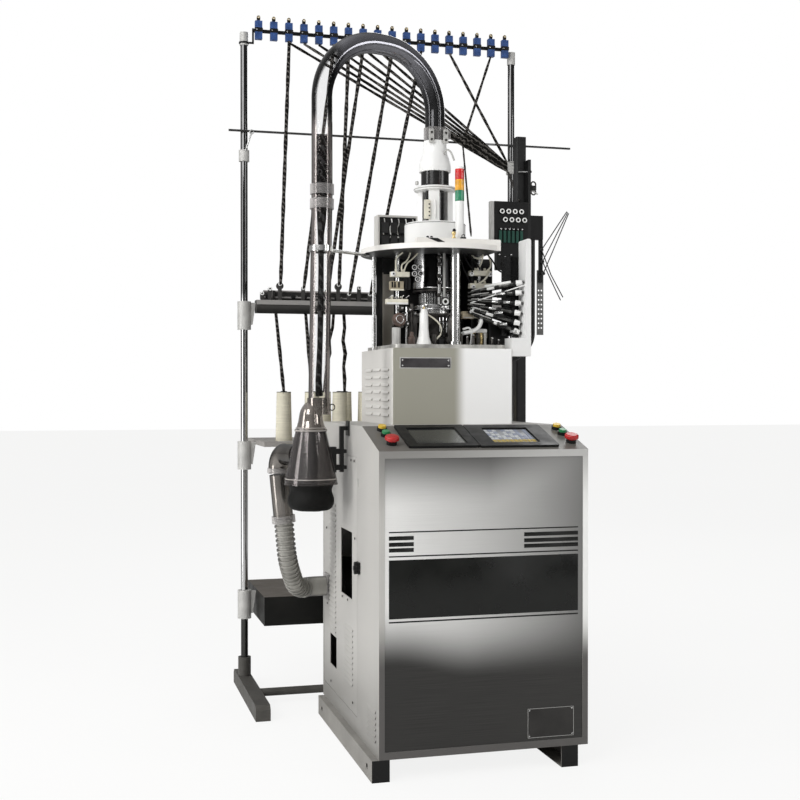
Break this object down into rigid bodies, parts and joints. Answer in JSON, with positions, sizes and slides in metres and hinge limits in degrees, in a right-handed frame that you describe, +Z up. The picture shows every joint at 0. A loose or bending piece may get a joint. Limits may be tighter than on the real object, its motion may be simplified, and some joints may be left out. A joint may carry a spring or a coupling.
{
  "type": "industrial sock knitting machine",
  "caption": "Circular sock knitting machine on a sheet-metal cabinet with sloping console, take-off pipe to a collecting bell, suction hose and a yarn stand behind.",
  "frame": {"origin": "on the floor, below the middle of the whole machine's outline seen from above", "axes": "+Z up, -Y towards the operator's console, +X towards the machine's right side as the operator sees it"},
  "size_m": [1.293, 1.33, 2.3895],
  "materials": {
    "cabinet_paint": "satin",
    "front_metal": "satin",
    "dark_frame": "satin",
    "zinc_steel": "satin",
    "black_plastic": "matte",
    "dark_glass": "gloss",
    "keypad_film": "satin",
    "yellow_plastic": "gloss",
    "green_plastic": "gloss",
    "red_plastic": "gloss",
    "machined_steel": "machined",
    "chromed": "polished",
    "white_paint": "satin",
    "clear_pipe": "clear",
    "smoked_pipe": "clear",
    "black_rubber": "matte",
    "black_steel": "satin",
    "hose_plastic": "translucent",
    "green_lens": "gloss",
    "amber_lens": "gloss",
    "red_lens": "gloss",
    "cream_plastic": "gloss",
    "green_tube": "gloss",
    "light_metal": "satin",
    "cream_yarn": "matte",
    "blue_plastic": "gloss",
    "black_yarn": "matte"
  },
  "bodies": {
    "frame": {"base_frame": "dark_frame", "cabinet_shell": "cabinet_paint", "front_panel": "front_metal", "side_panel": "cabinet_paint", "console_frames": "black_plastic", "display_glass": "dark_glass", "keypad": "keypad_film", "head_box": "cabinet_paint", "bed_plate": "machined_steel", "head_columns": "chromed", "cam_ring": "machined_steel", "dial_sleeve": "machined_steel", "top_plate": "white_paint", "tower_housing": "white_paint", "tower_core": "black_plastic", "arch_pipe": "clear_pipe", "sock_pipe": "clear_pipe", "pipe_fittings": "black_plastic", "bell_jar": "smoked_pipe", "bell_filter": "machined_steel", "bell_boot": "black_rubber", "side_fittings": "black_steel", "elbow_pipe": "clear_pipe", "suction_hose": "hose_plastic", "fan_housing": "dark_frame", "drive_motor": "dark_frame", "drive_belt": "black_rubber", "light_pole": "black_plastic", "light_green": "green_lens", "light_amber": "amber_lens", "light_red": "red_lens", "side_bracket": "machined_steel", "valve_block": "white_paint", "finger_blocks": "cream_plastic", "feeder_tubes": "green_tube", "feeder_post": "black_steel", "feeder_block": "black_plastic", "creel_poles": "chromed", "creel_base": "dark_frame", "creel_clamps": "light_metal", "guide_shelf": "dark_frame", "creel_shelves": "dark_frame", "yarn_cones": "cream_yarn", "tensioner_rail": "black_plastic", "tensioners": "blue_plastic", "yarns": "black_yarn"},
    "cylinder": {"needle_cylinder": "machined_steel"},
    "dial": {"dial": "machined_steel"},
    "motor": {"motor_pulley": "machined_steel"},
    "fan": {"fan_wheel": "machined_steel"},
    "latch": {"latch_lever": "zinc_steel"},
    "yellow_button_left": {"yellow_button_left": "yellow_plastic"},
    "green_button_left": {"green_button_left": "green_plastic"},
    "stop_button_left": {"stop_button_left": "red_plastic"},
    "yellow_button_right": {"yellow_button_right": "yellow_plastic"},
    "green_button_right": {"green_button_right": "green_plastic"},
    "stop_button_right": {"stop_button_right": "red_plastic"},
    "take_up_1": {"take_up_arm_1": "chromed"},
    "take_up_2": {"take_up_arm_2": "chromed"},
    "take_up_3": {"take_up_arm_3": "chromed"}
  },
  "joints": [
    {"name": "cylinder_spin", "type": "hinge", "parent": "frame", "child": "cylinder", "pos_m": [-0.064, -0.135, 1.2], "axis": [0, 0, 1], "continuous": true},
    {"name": "dial_spin", "type": "hinge", "parent": "frame", "child": "dial", "pos_m": [-0.064, -0.135, 1.43], "axis": [0, 0, 1], "continuous": true},
    {"name": "motor_spin", "type": "hinge", "parent": "frame", "child": "motor", "pos_m": [0.05, -0.025, 1.14], "axis": [0, 0, 1], "continuous": true},
    {"name": "fan_spin", "type": "hinge", "parent": "frame", "child": "fan", "pos_m": [-0.3, -0.013, 0.428], "axis": [1, 0, 0], "continuous": true},
    {"name": "latch_turn", "type": "hinge", "parent": "frame", "child": "latch", "pos_m": [-0.39, -0.425, 0.549], "axis": [1, 0, 0], "range_deg": [0, 90]},
    {"name": "yellow_left_press", "type": "slide", "parent": "frame", "child": "yellow_button_left", "axis": [0, 0.3004, -0.9538], "range_m": [0, 0.004], "stiffness_N_per_m": 600, "springref_m": -0.001},
    {"name": "green_left_press", "type": "slide", "parent": "frame", "child": "green_button_left", "axis": [0, 0.3004, -0.9538], "range_m": [0, 0.004], "stiffness_N_per_m": 600, "springref_m": -0.001},
    {"name": "stop_left_press", "type": "slide", "parent": "frame", "child": "stop_button_left", "axis": [0, 0.3004, -0.9538], "range_m": [0, 0.004], "stiffness_N_per_m": 600, "springref_m": -0.001},
    {"name": "yellow_right_press", "type": "slide", "parent": "frame", "child": "yellow_button_right", "axis": [0, 0.3004, -0.9538], "range_m": [0, 0.004], "stiffness_N_per_m": 600, "springref_m": -0.001},
    {"name": "green_right_press", "type": "slide", "parent": "frame", "child": "green_button_right", "axis": [0, 0.3004, -0.9538], "range_m": [0, 0.004], "stiffness_N_per_m": 600, "springref_m": -0.001},
    {"name": "stop_right_press", "type": "slide", "parent": "frame", "child": "stop_button_right", "axis": [0, 0.3004, -0.9538], "range_m": [0, 0.004], "stiffness_N_per_m": 600, "springref_m": -0.001},
    {"name": "take_up_1_swing", "type": "hinge", "parent": "frame", "child": "take_up_1", "pos_m": [0.364, 0.029, 1.541], "axis": [0, 1, 0], "range_deg": [-12, 12], "stiffness_Nm_per_rad": 0.6},
    {"name": "take_up_2_swing", "type": "hinge", "parent": "frame", "child": "take_up_2", "pos_m": [0.364, 0.021, 1.5], "axis": [0, 1, 0], "range_deg": [-12, 12], "stiffness_Nm_per_rad": 0.6},
    {"name": "take_up_3_swing", "type": "hinge", "parent": "frame", "child": "take_up_3", "pos_m": [0.364, 0.013, 1.459], "axis": [0, 1, 0], "range_deg": [-12, 12], "stiffness_Nm_per_rad": 0.6}
  ],
  "couplings": [
    {"joint": "dial_spin", "follows": "cylinder_spin", "ratio": 1},
    {"joint": "motor_spin", "follows": "cylinder_spin", "ratio": 2}
  ]
}
